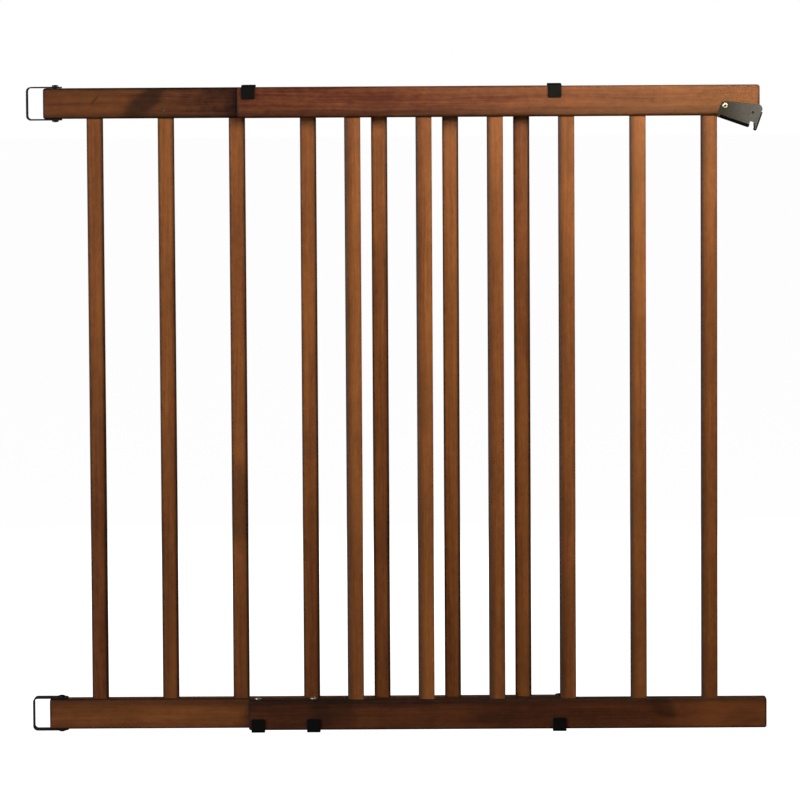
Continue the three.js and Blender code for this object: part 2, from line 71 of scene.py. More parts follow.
RAIL_EASE = 1.7  # rounding of a rail's long edges
RAIL_BROAD_EASE = (4.5, 1.7)  # softer edge on the side of the slats: height, depth
RAIL_CORNER = 2.6
SLAT_EASE = 1.5
SLAT_BROAD_EASE = (5.0, 1.9)  # softer long edge of a slat: width, depth
SLAT_CORNER = 1.2
EASE_STEPS = 5
RING_SPACING = 14.0
EASE_WANDER = 0.16  # share by which a hand-sanded edge's rounding varies along a board

STRAP_THICKNESS = 1.5
STRAP_BEND = 4.75  # bend radius at the strap's mid thickness
STRAP_TIP = 7.0
STRAP_RIM = 0.35

BRACKET_WALL = 2.5
BRACKET_BEND = 1.75
BRACKET_TIP = 1.6
BRACKET_RIM = 0.55

ROUND = 40  # segments round a turned piece
SCREW_RADIUS = 2.0
SCREW_POINT = 4.0
SCREW_SHOULDER = -8.0  # where the shank reaches its full radius, under the head
SCREW_HEAD = 2.0
ROUND_SCREW_TURN = 0.35  # how far each screw's cross stands turned
FLAT_SCREW_TURN = 0.5

BOLT_RADIUS = 2.4
BOLT_BORE = 2.8
BOLT_HEAD = 2.2
BOLT_SIDES = 24
BOLT_SOCKET = 1.9
BOLT_THREAD_END = -12.0  # where the thread runs out, under the head
BOLT_NECK = -11.4
SOCKET_DEPTH = 1.4
THREAD_PITCH = 0.8
NUT_POCKET = 2.8  # counterbore over the nut, in the rail's underside
NUT_RADIUS = 4.6
NUT_CHAMFER = 0.45
NUT_FLAT = 0.92  # share of its radius that a nut's end faces reach

PIVOT_RADIUS = 2.0
PIVOT_HEAD = 2.0
PIVOT_SOCKET = 1.6
INSERT_BORE = 2.05
INSERT_SEAT = 4.3  # radius of the hole in the rail round the threaded insert

MORTISE_DEPTH = 11.0
MORTISE_ROOM = 0.2  # wider than the slat's stub all round

BRAD_RADIUS = 0.8
BRAD_SINK = 0.15
BRAD_HOLE = 1.5  # depth of a brad's hole
BRAD_INSET = 9.0  # from the rail's inner edge
BRAD_SIDES = 14


# ---------- shapes: (points, faces) in millimetres ----------


def lofted(rings, closed=True):
    """A skin over rings of equally many points, with a cap on each end."""
    count = len(rings[0])
    points = [Vector(p) for ring in rings for p in ring]
    faces = []
    for level in range(len(rings) - 1):
        low, high = level * count, (level + 1) * count
        for i in range(count):
            j = (i + 1) % count
            faces.append((low + i, low + j, high + j, high + i))
    if closed:
        faces.append(tuple(reversed(range(count))))
        faces.append(tuple(range((len(rings) - 1) * count, len(rings) * count)))
    return points, faces


def turned(profile, steps=ROUND, phase=0.0):
    """A body turned about Z from (radius, z) pairs. Ends at radius 0 close to a point."""
    points, faces, rows = [], [], []
    for radius, z in profile:
        if radius < 1e-6:
            rows.append([len(points)] * steps)
            points.append(Vector((0, 0, z)))
            continue
        rows.append(list(range(len(points), len(points) + steps)))
        for i in range(steps):
            angle = phase + 2 * math.pi * i / steps
            points.append(Vector((radius * math.cos(angle), radius * math.sin(angle), z)))
    for low, high in zip(rows, rows[1:]):
        for i in range(steps):
            j = (i + 1) % steps
            face = []
            for corner in (low[i], low[j], high[j], high[i]):
                if corner not in face:
                    face.append(corner)
            if len(face) > 2:
                faces.append(tuple(face))
    for row, flip in ((rows[0], True), (rows[-1], False)):
        if row[0] != row[1]:
            faces.append(tuple(reversed(row)) if flip else tuple(row))
    return points, faces


def moved(shape, x=0.0, y=0.0, z=0.0, turn=None):
    """The shape turned by the matrix, then shifted."""
    shift = Matrix.Translation((x, y, z)) @ (turn if turn else Matrix.Identity(4))
    return [shift @ p for p in shape[0]], shape[1]


def merged(shapes):
    points, faces = [], []
    for part_points, part_faces in shapes:
        start = len(points)
        points.extend(part_points)
        faces.extend(tuple(start + i for i in face) for face in part_faces)
    return points, faces


def section(half_v, half_w, eases):
    """A rounded rectangle in the (v, w) plane. eases are (along v, along w) from the corner
    at low v and low w, anticlockwise."""
    signs = ((-1, -1), (1, -1), (1, 1), (-1, 1))
    outline = []
    for index, ((sign_v, sign_w), (along_v, along_w)) in enumerate(zip(signs, eases)):
        centre_v = sign_v * (half_v - along_v)
        centre_w = sign_w * (half_w - along_w)
        for step in range(EASE_STEPS + 1):
            angle = math.pi + (index + step / EASE_STEPS) * math.pi / 2
            v = centre_v + along_v * math.cos(angle)
            w = centre_w + along_w * math.sin(angle)
            outline.append((v, w))
    return outline


def shortfall(radius, distance):
    """How far a rounded corner lies inside the square one, at a distance from the end."""
    if distance >= radius:
        return 0.0
    distance = max(0.0, distance)
    return radius - math.sqrt(radius**2 - (radius - distance) ** 2)


def rounding_stations(radii, degrees):
    """Distances from an end at which its roundings need a ring."""
    return {round(r * (1 - math.cos(math.radians(a))), 4) for r in radii for a in degrees}


def board(length, half_v, half_w, eases, corner, seed):
    """A rounded board along u, centred: its long edges wander a little, as sanded ones do."""
    end_ease = eases[2][1]
    near = rounding_stations((corner, end_ease), (0, 20, 38, 54, 70, 90))
    inner = length - 2 * corner
    count = max(2, round(inner / RING_SPACING))
    stations = sorted(near) + [corner + inner * i / count for i in range(1, count)]
    stations += [length - d for d in sorted(near, reverse=True)]
    rings = []
    for station in stations:
        distance = min(station, length - station)
        cut_v = shortfall(corner, distance)
        cut_w = shortfall(end_ease, distance)
        settled = min(1.0, distance / (3 * corner))
        eased = []
        for index, (along_v, along_w) in enumerate(eases):
            place = Vector((station / 45, seed * 7.3, index * 3.1))
            wander = 1 + EASE_WANDER * settled * noise.noise(place)
            eased.append((along_v * wander, along_w * wander))
        outline = section(half_v - cut_v, half_w - cut_w, eased)
        rings.append([(station - length / 2, v, w) for v, w in outline])
    return lofted(rings)


def bent_path(corners, radius, steps=9):
    """A polyline in a plane with each inner corner turned into an arc."""
    path = [Vector(corners[0])]
    for before, corner, after in zip(corners, corners[1:], corners[2:]):
        corner = Vector(corner)
        back = (Vector(before) - corner).normalized()
        ahead = (Vector(after) - corner).normalized()
        reach = radius / math.tan(back.angle(ahead) / 2)
        centre = corner + (back + ahead).normalized() * radius / math.sin(back.angle(ahead) / 2)
        first = corner + back * reach - centre
        last = corner + ahead * reach - centre
        for step in range(steps + 1):
            share = step / steps
            path.append(centre + (first * (1 - share) + last * share).normalized() * radius)
    path.append(Vector(corners[-1]))
    return path


def ribbon(path, width, thickness, tip, rim):
    """A flat strip bent along a plane path of (p, q) points: corners in plan are rounded by
    tip and every edge by rim. Points come out as (p, q, across)."""
    lengths = [0.0]
    for a, b in zip(path, path[1:]):
        lengths.append(lengths[-1] + (b - a).length)
    total = lengths[-1]
    near = rounding_stations((tip, rim), (0, 18, 36, 54, 72, 90))
    stations = sorted(near | {round(total - d, 4) for d in near}
                      | {round(d, 4) for d in lengths if tip < d < total - tip})
    rings = []
    for station in stations:
        index = max(i for i, d in enumerate(lengths[:-1]) if d <= station + 1e-6)
        share = (station - lengths[index]) / (lengths[index + 1] - lengths[index])
        here = path[index].lerp(path[index + 1], share)
        ahead = (path[index + 1] - path[index]).normalized()
        if share < 1e-3 and index:
            ahead = (ahead + (path[index] - path[index - 1]).normalized()).normalized()
        side = Vector((-ahead.y, ahead.x))
        distance = min(station, total - station)
        half = width / 2 - shortfall(tip, distance)
        depth = thickness / 2 - shortfall(rim, distance)
        edge = min(rim, 0.95 * depth)
        outline = section(half, depth, ((edge, edge),) * 4)
        rings.append([(here.x + side.x * w, here.y + side.y * w, v) for v, w in outline])
    return lofted(rings)


# ---------- pieces ----------


def mesh_piece(name, shape, sharp=32.0):
    """A closed mesh object from a shape, smooth but for edges sharper than an angle."""
    mesh = bpy.data.meshes.new(name)
    mesh.from_pydata([p * MM for p in shape[0]], [], shape[1])
    settle(mesh, sharp)
    piece = bpy.data.objects.new(name, mesh)
    bpy.context.scene.collection.objects.link(piece)
    return piece


def settle(mesh, sharp=32.0):
    """Welds doubles, turns the faces outward and marks sharp edges."""
    work = bmesh.new()
    work.from_mesh(mesh)
    bmesh.ops.remove_doubles(work, verts=work.verts, dist=2e-6)
    bmesh.ops.dissolve_degenerate(work, edges=work.edges, dist=1e-6)
    bmesh.ops.recalc_face_normals(work, faces=work.faces)
    work.to_mesh(mesh)
    work.free()
    mesh.shade_smooth()
    mesh.set_sharp_from_angle(angle=math.radians(sharp))


def cut_away(piece, cutters, sharp=32.0):
    """Takes the cutter shapes out of a piece."""
    tool = mesh_piece(piece.name + ".tool", merged(cutters))
    modifier = piece.modifiers.new("cut", "BOOLEAN")
    modifier.operation = "DIFFERENCE"
    modifier.solver = "EXACT"
    modifier.object = tool
    keep_result(piece, sharp)
    bpy.data.objects.remove(tool)
    return piece


def keep_result(piece, sharp=32.0):
    """Turns a piece's modifiers into its mesh."""
    graph = bpy.context.evaluated_depsgraph_get()
    made = bpy.data.meshes.new_from_object(piece.evaluated_get(graph))
    piece.modifiers.clear()
    piece.data = made
    settle(made, sharp)


def weigh_normals(piece):
    """Keeps wide faces flat beside their rounded edges."""
    modifier = piece.modifiers.new("flat faces", "WEIGHTED_NORMAL")
    modifier.keep_sharp = True
    modifier.weight = 80


BODY_OF = {node: body for body, nodes in frame["record"]["behaviour"]["bodies"].items()
           for node in nodes}


def stand_for(piece, node, material):
    """The piece is shown in place of a CAD node, and moves with the node's body."""
    piece.data.materials.clear()
    piece.data.materials.append(material)
    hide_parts(node)
    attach(piece, BODY_OF[node])
    return piece


def box_of(node):
    low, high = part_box(node)
    return low / MM, high / MM


def span_of(node):
    low, high = box_of(node)
    return low, high, (low + high) / 2


def middle_of(node):
    return span_of(node)[2]


def half_of(node):
    low, high = box_of(node)
    return (high - low) / 2


# ---------- material graphs ----------


class Graph:
    """A short way to write a Principled material's nodes."""

    def __init__(self, name):
        self.material = bpy.data.materials.new(name)
        self.material.use_nodes = True
        self.tree = self.material.node_tree
        self.shader = self.tree.nodes["Principled BSDF"]

    def node(self, kind, values=(), **settings):
        made = self.tree.nodes.new("ShaderNode" + kind)
        for key, value in settings.items():
            setattr(made, key, value)
        for key, value in dict(values).items():
            self.feed(made.inputs[key], value)
        return made

    def feed(self, socket, value):
        if isinstance(value, bpy.types.NodeSocket):
            self.tree.links.new(value, socket)
        else:
            socket.default_value = value

    def attribute(self, name):
        return self.node("Attribute", attribute_name=name).outputs["Vector"]

    def amount(self, name):
        return self.node("Attribute", attribute_name=name).outputs["Fac"]

    def place(self):
        return self.node("TexCoord").outputs["Object"]

    def math(self, operation, a, b=0.0, c=0.0):
        return self.node("Math", {0: a, 1: b, 2: c}, operation=operation).outputs[0]

    def product(self, first, *others):
        for other in others:
            first = self.math("MULTIPLY", first, other)
        return first

    def vector(self, operation, a, b=(0, 0, 0)):
        return self.node("VectorMath", {0: a, 1: b}, operation=operation).outputs[0]

    def parts(self, vector):
        return tuple(self.node("SeparateXYZ", {0: vector}).outputs)

    def noise(self, vector, scale, detail=2.0, roughness=0.5):
        stretched = self.vector("MULTIPLY", vector, scale)
        values = {"Vector": stretched, "Scale": 1.0, "Detail": detail, "Roughness": roughness}
        return self.node("TexNoise", values).outputs[0]

    def span(self, value, low, high, to_low=0.0, to_high=1.0, smooth=True):
        values = {0: value, 1: low, 2: high, 3: to_low, 4: to_high}
        kind = "SMOOTHSTEP" if smooth else "LINEAR"
        return self.node("MapRange", values, interpolation_type=kind).outputs[0]

    def blend(self, share, a, b, kind="MIX"):
        values = {0: share, 6: opaque(a), 7: opaque(b)}
        return self.node("Mix", values, data_type="RGBA", blend_type=kind).outputs[2]

    def tinted(self, colour, factor):
        """The colour times a grey factor."""
        grey = self.node("CombineColor", {0: factor, 1: factor, 2: factor}).outputs[0]
        return self.blend(1.0, colour, grey, "MULTIPLY")

    def bump(self, height, depth, strength=1.0):
        values = {"Height": height, "Distance": depth, "Strength": strength}
        return self.node("Bump", values).outputs[0]

    def set(self, **values):
        for key, value in values.items():
            self.feed(self.shader.inputs[key.replace("_", " ")], value)
        return self.material


def opaque(colour):
    if isinstance(colour, bpy.types.NodeSocket):
        return colour
    return (*colour, 1.0)


# ---------- wood ----------


UNSHIFTED = (-1.0, 1.0, 0.0, 0.0)


def wood(name, dark, light, fade=UNSHIFTED, patch=0.12, marks=()):
    """Stained hardwood under satin lacquer, with painted shade across the board and in its edges.
    It reads the attributes that dress_board writes.
    fade shifts the stain along the board: (from, to, shift at from, shift at to), a shift of
    -1 to 1 towards the light colour. patch is how strong the soft cloudy patches are. marks are
    ellipses of darker stain: (along, across, long radius, short radius, slant, strength), in
    metres about the board's centre. Noise scales are per metre: along, across and into it."""
    g = Graph(name)
    grain = g.attribute("grain")
    across_bend = g.span(g.noise(grain, (7, 20, 20), 2), 0.0, 1.0, -0.004, 0.004, False)
    bent = g.vector("ADD", grain, g.node("CombineXYZ", {1: across_bend}).outputs[0])

    figure = g.noise(bent, (2.6, 70, 70), 3)
    streak = g.noise(bent, (9, 420, 420), 4, 0.6)
    fibre = g.noise(bent, (60, 2600, 2600), 2)
    pores = g.span(g.noise(bent, (240, 5200, 5200), 1), 0.58, 0.70)
    mottle = g.noise(grain, (90, 160, 160), 4, 0.65)
    cloud = g.noise(bent, (13, 26, 26), 3, 0.55)

    tone, side, spread = g.parts(g.attribute("kind"))
    board_place = g.attribute("board")
    half = g.attribute("half")
    along, _, _ = g.parts(board_place)
    share = g.math("MULTIPLY_ADD", streak, 0.40, g.math("MULTIPLY", figure, 0.50))
    share = g.math("MULTIPLY_ADD", mottle, 0.30, share)
    share = g.math("ADD", g.span(share, 0.28, 0.92, smooth=False), tone)
    share = g.math("ADD", share, g.span(along, *fade))
    colour = g.blend(share, dark, light)

    end = g.amount("cut")
    lean = side_shade_lean(g, board_place, half, side)
    # real patches, fibre, pores, marks and end grain, times the painted side shade and painted
    # edge shade
    shade = g.product(g.span(cloud, 0.28, 0.72, 1.0 - patch, 1.0 + patch),
                      g.span(fibre, 0.3, 0.7, 0.92, 1.06),
                      g.span(pores, 0.0, 1.0, 1.0, 0.72),
                      painted_side_shade(g, lean, spread, mottle),
                      painted_edge_shade(g, board_place, half, lean, spread, mottle),
                      *[stain_mark(g, board_place, grain, *mark) for mark in marks],
                      g.span(end, 0.0, 1.0, 1.0, 0.62, False))

    rough = g.span(streak, 0.3, 0.7, 0.38, 0.46)
    rough = g.math("MULTIPLY_ADD", pores, 0.15, rough)
    rough = g.math("MULTIPLY_ADD", end, 0.15, rough)
    height = g.math("MULTIPLY_ADD", pores, -0.8, fibre)
    height = g.math("MULTIPLY_ADD", streak, 0.7, height)
    g.set(Base_Color=g.tinted(colour, shade), Roughness=rough, Normal=g.bump(height, 0.00006))
    return g.set(Specular_IOR_Level=0.34, Coat_Weight=0.03, Coat_Roughness=0.38)


def side_shade_lean(g, board_place, half, side):
    """1 at the long edge where the painted side shade lies, -1 at the other. side is +1, -1 or 0.
    """
    _, across, _ = g.parts(g.vector("DIVIDE", board_place, half))
    return g.math("MULTIPLY", across, side)


def painted_side_shade(g, lean, spread, mottle):
    """Painted shade: darker towards the softer long edge, whose rounding turns from the light;
    over half the width where spread is 1, over the last quarter where it is 0."""
    start = g.math("MULTIPLY_ADD", spread, -0.55, 0.50)
    reach = g.math("SUBTRACT", g.math("MULTIPLY_ADD", mottle, 0.16, lean), start)
    depth = g.math("MULTIPLY_ADD", spread, 0.50, 0.55)
    return g.span(g.math("DIVIDE", reach, depth), 0.08, 1.0, 1.0, 0.46)


def painted_edge_shade(g, board_place, half, lean, spread, mottle):
    """Painted shade in the long and end edges, where their rounding turns from the light, fading
    within about four millimetres. Where spread is 1 the far long edge is left light: painted
    highlight."""
    room = g.vector("SUBTRACT", half, g.vector("ABSOLUTE", board_place))
    a, b, c = g.parts(room)
    least, most = g.math("MINIMUM", a, b), g.math("MAXIMUM", a, b)
    second = g.math("MAXIMUM", least, g.math("MINIMUM", most, c))  # the second nearest face
    wavering = g.math("MULTIPLY_ADD", mottle, 0.0012, second)
    rim = g.span(wavering, 0.0005, 0.0042, 0.80, 0.0)
    # where spread is 1 the edge that catches the light keeps no painted shade: a painted
    # highlight
    lit_edge = g.math("MULTIPLY", g.span(lean, -0.9, 0.0, 0.85, 0.0), spread)
    kept = g.math("SUBTRACT", 1.0, lit_edge)
    return g.math("SUBTRACT", 1.0, g.math("MULTIPLY", rim, kept))


def stain_mark(g, board_place, grain, along, across, long_radius, short_radius, slant, strength):
    """A soft-edged darker patch."""
    u, v, _ = g.parts(board_place)
    u = g.math("SUBTRACT", g.math("SUBTRACT", u, along), g.math("MULTIPLY", v, slant))
    v = g.math("SUBTRACT", v, across)
    u = g.math("DIVIDE", u, long_radius)
    v = g.math("DIVIDE", v, short_radius)
    distance = g.math("SQRT", g.math("ADD", g.math("MULTIPLY", u, u), g.math("MULTIPLY", v, v)))
    ragged = g.math("MULTIPLY_ADD", g.noise(grain, (60, 220, 220), 3), 0.5, distance)
    return g.span(ragged, 0.75, 1.35, 1.0 - strength, 1.0)


def dress_board(piece, centre, axes, half, tone, side, spread, seed):
    """Writes where each point lies on its board, for the wood's grain, its painted edge and side
    shade and its end grain.
    tone is how light the stain is at the board's low end and at its high end."""
    mesh = piece.data
    basis = Matrix([list(axis) for axis in axes])
    local = [basis @ (v.co / MM - centre) for v in mesh.vertices]
    drift = Vector((seed * 0.917 % 5.0, seed * 0.331 % 3.0, seed * 0.577 % 3.0))
    write_vector(mesh, "board", [p * MM for p in local])
    write_vector(mesh, "grain", [p * MM + drift for p in local])
    write_vector(mesh, "half", [Vector(half) * MM] * len(local))
    foot, head = tone
    shares = [0.5 + p.x / half[0] / 2 for p in local]
    write_vector(mesh, "kind", [(foot + (head - foot) * share, side, spread) for share in shares])
    along = Vector(axes[0])
    cut = mesh.attributes.new("cut", "FLOAT", "FACE")
    cut.data.foreach_set("value", [float(abs(f.normal.dot(along)) > 0.8) for f in mesh.polygons])


def write_vector(mesh, name, vectors):
    attribute = mesh.attributes.new(name, "FLOAT_VECTOR", "POINT")
    attribute.data.foreach_set("vector", [x for v in vectors for x in v])


ALONG_X = (Vector((1, 0, 0)), Vector((0, 0, 1)), Vector((0, 1, 0)))
ALONG_Z = (Vector((0, 0, 1)), Vector((1, 0, 0)), Vector((0, 1, 0)))


def laid(shape, axes):
    """A board's (u, v, w) points turned to the frame's axes."""
    return [axes[0] * p[0] + axes[1] * p[1] + axes[2] * p[2] for p in shape[0]], shape[1]


def slat_eases(broad_corner):
    eases = [(SLAT_EASE, SLAT_EASE)] * 4
    eases[broad_corner] = SLAT_BROAD_EASE
    return eases


FRONT_LOW, FRONT_HIGH = 0, 1  # corners of a board's section on the viewer's side


def board_piece(node, axes, eases, corner, seed):
    """A node's board, with its centre and its half sizes along the axes."""
    half, centre = half_of(node), middle_of(node)
    size = tuple(half.dot(axis) for axis in axes)
    shape = laid(board(2 * size[0], size[1], size[2], eases, corner, seed), axes)
    return mesh_piece(node + "_board", moved(shape, *centre)), centre, size


def make_slat(node, tone, side, seed, material):
    """side is which long edge is the softer one: 1 on the latch side, -1 on the hinge side."""
    eases = slat_eases(FRONT_HIGH if side > 0 else FRONT_LOW)
    piece, centre, size = board_piece(node, ALONG_Z, eases, SLAT_CORNER, seed)
    # how far the painted side shade reaches; at 1 the far long edge keeps no painted edge shade
    spread = 0.0 if side > 0 else 1.0
    dress_board(piece, centre, ALONG_Z, size, tone, side, spread, seed)
    weigh_normals(piece)
    return stand_for(piece, node, material)


def mortises(slat_nodes, side_of_rail, broad):
    """Pockets a little wider than the slats that stand in them, in a top rail (1) or bottom
    rail (-1)."""
    shapes = []
    for node in slat_nodes:
        low, high, centre = span_of(node)
        half = (high - low) / 2
        outline = section(half.x + MORTISE_ROOM, half.y + MORTISE_ROOM, slat_eases(broad))
        if side_of_rail > 0:
            ends = (high.z + GAP - MORTISE_DEPTH, high.z + GAP)
        else:
            ends = (low.z - GAP, low.z - GAP + MORTISE_DEPTH)
        rings = [[(centre.x + v, centre.y + w, z) for v, w in outline] for z in ends]
        shapes.append(lofted(rings))
    return shapes


def bore(x, y, low, high, radius, steps=24):
    return moved(turned([(radius, low), (radius, high)], steps), x, y)


def make_rail(node, spread, material, seed, slat_nodes, holes, brads):
    """spread is how far the painted side shade reaches over the board. brads are its nail heads'
    places, as nail_row lists them."""
    top = "top" in node
    eases = [(RAIL_EASE, RAIL_EASE)] * 4
    eases[FRONT_LOW if top else FRONT_HIGH] = RAIL_BROAD_EASE
    piece, centre, size = board_piece(node, ALONG_X, eases, RAIL_CORNER, seed)
    broad = FRONT_HIGH if node.startswith("rear") else FRONT_LOW
    cutters = mortises(slat_nodes, 1 if top else -1, broad) + holes
    cut_away(piece, cutters + [brad_hole(x, z, y) for x, z, y, _ in brads])
    side = -1 if top else 1
    dress_board(piece, centre, ALONG_X, size, (0.0, 0.0), side, spread, seed)
    weigh_normals(piece)
    return stand_for(piece, node, material)


def brad_hole(x, z, y):
    """A hole round a nail head, half of it above the wood's surface at y."""
    radius = BRAD_RADIUS + BRAD_SINK
    hole = turned([(radius, 0.0), (radius, 2 * BRAD_HOLE)], BRAD_SIDES)
    return moved(hole, x, y - BRAD_HOLE, z, Matrix.Rotation(math.radians(-90), 4, "X"))


# ---------- metal and plastic ----------


def painted_shade_mark(piece, test):
    """Marks the faces that get painted shade, nearly black: bends turned from the light,
    recesses.
    """
    marks = piece.data.attributes.new("painted_shade_mark", "FLOAT", "FACE")
    marks.data.foreach_set("value", [float(test(f)) for f in piece.data.polygons])


def with_painted_shade(g, colour):
    """The colour, nearly black as painted shade on the marked faces."""
    return g.tinted(colour, g.span(g.amount("painted_shade_mark"), 0.0, 1.0, 1.0, 0.06, False))


UNTINTED = (-1.0, 2.0, 1.0, 1.0)


def coated_steel(name, colour, rough, metal, edge, fade=UNTINTED):
    """A satin coat with faint scuffs that show lighter. fade is a painted reflection along the
    gate, the coat darker at one end and lighter at the other: (from, to, tint at from, tint at
    to)."""
    g = Graph(name)
    place = g.place()
    grit = g.noise(place, (1800, 1800, 1800), 2)
    scuff = g.span(g.noise(place, (150, 900, 420), 3, 0.7), 0.58, 0.80)
    cloud = g.noise(place, (120, 120, 120), 3)
    tint = g.span(cloud, 0.2, 0.8, 0.85, 1.15)
    # painted reflection: fade lightens the coat along the gate
    tint = g.math("MULTIPLY", tint, g.span(g.parts(place)[0], *fade))
    base = with_painted_shade(g, g.tinted(g.blend(g.math("MULTIPLY", scuff, 0.5), colour, edge), tint))
    roughness = g.span(cloud, 0.3, 0.7, rough - 0.04, rough + 0.06)
    g.set(Base_Color=base, Roughness=roughness, Normal=g.bump(grit, 0.00002, 0.6))
    return g.set(Metallic=metal, Specular_IOR_Level=0.5)


def moulded_plastic(name, colour):
    """Black plastic with a fine spark-eroded grain."""
    g = Graph(name)
    place = g.place()
    grit = g.noise(place, (1500, 1500, 1500), 3, 0.6)
    wear = g.span(g.noise(place, (160, 160, 160), 4, 0.6), 0.55, 0.8, 1.0, 1.7)
    rough = g.span(grit, 0.3, 0.7, 0.50, 0.64)
    g.set(Base_Color=g.tinted(colour, wear), Roughness=rough)
    return g.set(Normal=g.bump(grit, 0.00005, 0.7), Specular_IOR_Level=0.2)


def bare_metal(name, colour, rough):
    """Plated or blackened steel with fine scratches, a cloudy tint and painted shade on marked
    faces.
    """
    g = Graph(name)
    place = g.place()
    fine = g.noise(place, (300, 2400, 2400), 3, 0.6)
    cloud = g.noise(place, (260, 260, 260), 3)
    tint = g.span(cloud, 0.25, 0.75, 0.75, 1.1)
    roughness = g.span(fine, 0.3, 0.7, rough - 0.06, rough + 0.08)
    g.set(Base_Color=with_painted_shade(g, g.tinted(colour, tint)), Roughness=roughness)
    return g.set(Metallic=1.0, Normal=g.bump(fine, 0.00002, 0.5))


def cross_recess(top, span=4.4, width=1.0, depth=1.1):
    """A tapered cross sunk from a screw head's top."""
    rings = []
    for z, scale in ((top - depth, 0.6), (top, 1.0), (top + 1.0, 1.2)):
        reach, half = span / 2 * scale, width / 2 * (0.5 + scale / 2)
        arm = [Vector((-half, -reach)), Vector((half, -reach)), Vector((half, -half))]
        outline = []
        for quarter in range(4):
            turn = Matrix.Rotation(quarter * math.pi / 2, 2)
            outline += [turn @ p for p in arm]
        rings.append([(p.x, p.y, z) for p in outline])
    return lofted(rings)


def circle(radius, z, steps):
    """A level ring of points. radius is a number, or a function of the share of a turn."""
    points = []
    for i in range(steps):
        angle = 2 * math.pi * i / steps
        reach = radius(i / steps) if callable(radius) else radius
        points.append((reach * math.cos(angle), reach * math.sin(angle), z))
    return points


def threaded(radius, low, high):
    """The rings of a threaded shank: its crest climbs a pitch for each turn."""
    depth = 0.55 * THREAD_PITCH
    rows = max(4, round((high - low) / (THREAD_PITCH / 4)))
    rings = []
    for row in range(rows + 1):
        z = low + (high - low) * row / rows

        def reach(share, z=z):
            crest = 1 - abs(2 * ((z / THREAD_PITCH - share) % 1.0) - 1)
            return radius - depth * (1 - crest)

        rings.append(circle(reach, z, BOLT_SIDES))
    return rings


def dome_profile(rim, height, flat=0.3):
    """(radius, z) pairs over a round head, from its rim's foot to its middle."""
    pairs = [(rim - 0.15, 0.0), (rim, 0.15), (rim, flat * height)]
    for degrees in (14, 28, 42, 56, 70, 82):
        angle = math.radians(degrees)
        z = flat * height + (1 - flat) * height * math.sin(angle)
        pairs.append((rim * math.cos(angle), z))
    return pairs + [(0.0, height)]


def shank(length):
    """(radius, z) pairs from a wood screw's point up to its full radius."""
    return [(0.0, -length), (SCREW_RADIUS * 0.9, SCREW_POINT - length),
            (SCREW_RADIUS, SCREW_SHOULDER)]


def make_round_screw(node, material, sign):
    """A round-headed wood screw that points down from its head (sign 1) or up (sign -1)."""
    low, high, centre = span_of(node)
    profile = shank(high.z - low.z - SCREW_HEAD) + [(SCREW_RADIUS, 0.0)]
    profile += dome_profile((high.x - low.x) / 2, SCREW_HEAD)
    turn = Matrix.Rotation(ROUND_SCREW_TURN, 4, "Z")
    if sign < 0:
        turn = Matrix.Rotation(math.pi, 4, "X") @ turn
    base = high.z - SCREW_HEAD if sign > 0 else low.z + SCREW_HEAD
    piece = mesh_piece(node + "_turned", moved(turned(profile), centre.x, centre.y, base, turn))
    cut_away(piece, [moved(cross_recess(SCREW_HEAD), centre.x, centre.y, base, turn)])
    return stand_for(piece, node, material)


def make_flat_screw(node, material):
    """A countersunk screw whose head lies level with the bracket."""
    low, high, centre = span_of(node)
    rim = (high.x - low.x) / 2
    profile = shank(high.z - low.z) + [(SCREW_RADIUS, GAP - BRACKET_WALL)]
    profile += [(rim, -0.25), (rim, -0.1), (rim - 0.12, 0.0), (0.0, 0.0)]
    turn = Matrix.Rotation(FLAT_SCREW_TURN, 4, "Z")
    piece = mesh_piece(node + "_turned", moved(turned(profile), centre.x, centre.y, high.z, turn))
    cut_away(piece, [moved(cross_recess(0.0), centre.x, centre.y, high.z, turn)])
    return stand_for(piece, node, material)


def make_bolt(node, material):
    """A low button-headed bolt with a hexagon recess and a threaded shank."""
    low, high, centre = span_of(node)
    base = high.z - BOLT_HEAD
    rings = threaded(BOLT_RADIUS, low.z - base, BOLT_THREAD_END)
    profile = [(BOLT_RADIUS, BOLT_NECK), (BOLT_RADIUS, 0.0)]
    profile += dome_profile((high.x - low.x) / 2, BOLT_HEAD, 0.35)[:-1]
    rings += [circle(radius, z, BOLT_SIDES) for radius, z in profile]
    piece = mesh_piece(node + "_turned", moved(lofted(rings), centre.x, centre.y, base))
    cut_away(piece, [moved(hex_socket(BOLT_SOCKET, BOLT_HEAD), centre.x, centre.y, base)])
    return stand_for(piece, node, material)


def hex_socket(radius, head):
    """A hexagon recess in the top of a bolt head of the given height."""
    return turned([(radius, head - SOCKET_DEPTH), (radius, head + 1)], 6)


def hexagon_turn(low, high):
    """How far a nut is turned: its corners lie along its box's longer side."""
    return 0.0 if high.x - low.x > high.y - low.y else math.pi / 6


def make_nut(node, material):
    """A hexagon nut with chamfered corners."""
    low, high, centre = span_of(node)
    radius = max(high.x - low.x, high.y - low.y) / 2
    flat = radius * NUT_FLAT
    rows = ((flat, low.z), (radius, low.z + NUT_CHAMFER), (radius, high.z - NUT_CHAMFER),
            (flat, high.z))
    shape = turned(rows, 6, hexagon_turn(low, high))
    piece = mesh_piece(node + "_turned", moved(shape, centre.x, centre.y), 20)
    hole = bore(centre.x, centre.y, low.z - 1, high.z + 1, BOLT_RADIUS + 0.15)
    cut_away(piece, [hole], 25)
    return stand_for(piece, node, material)


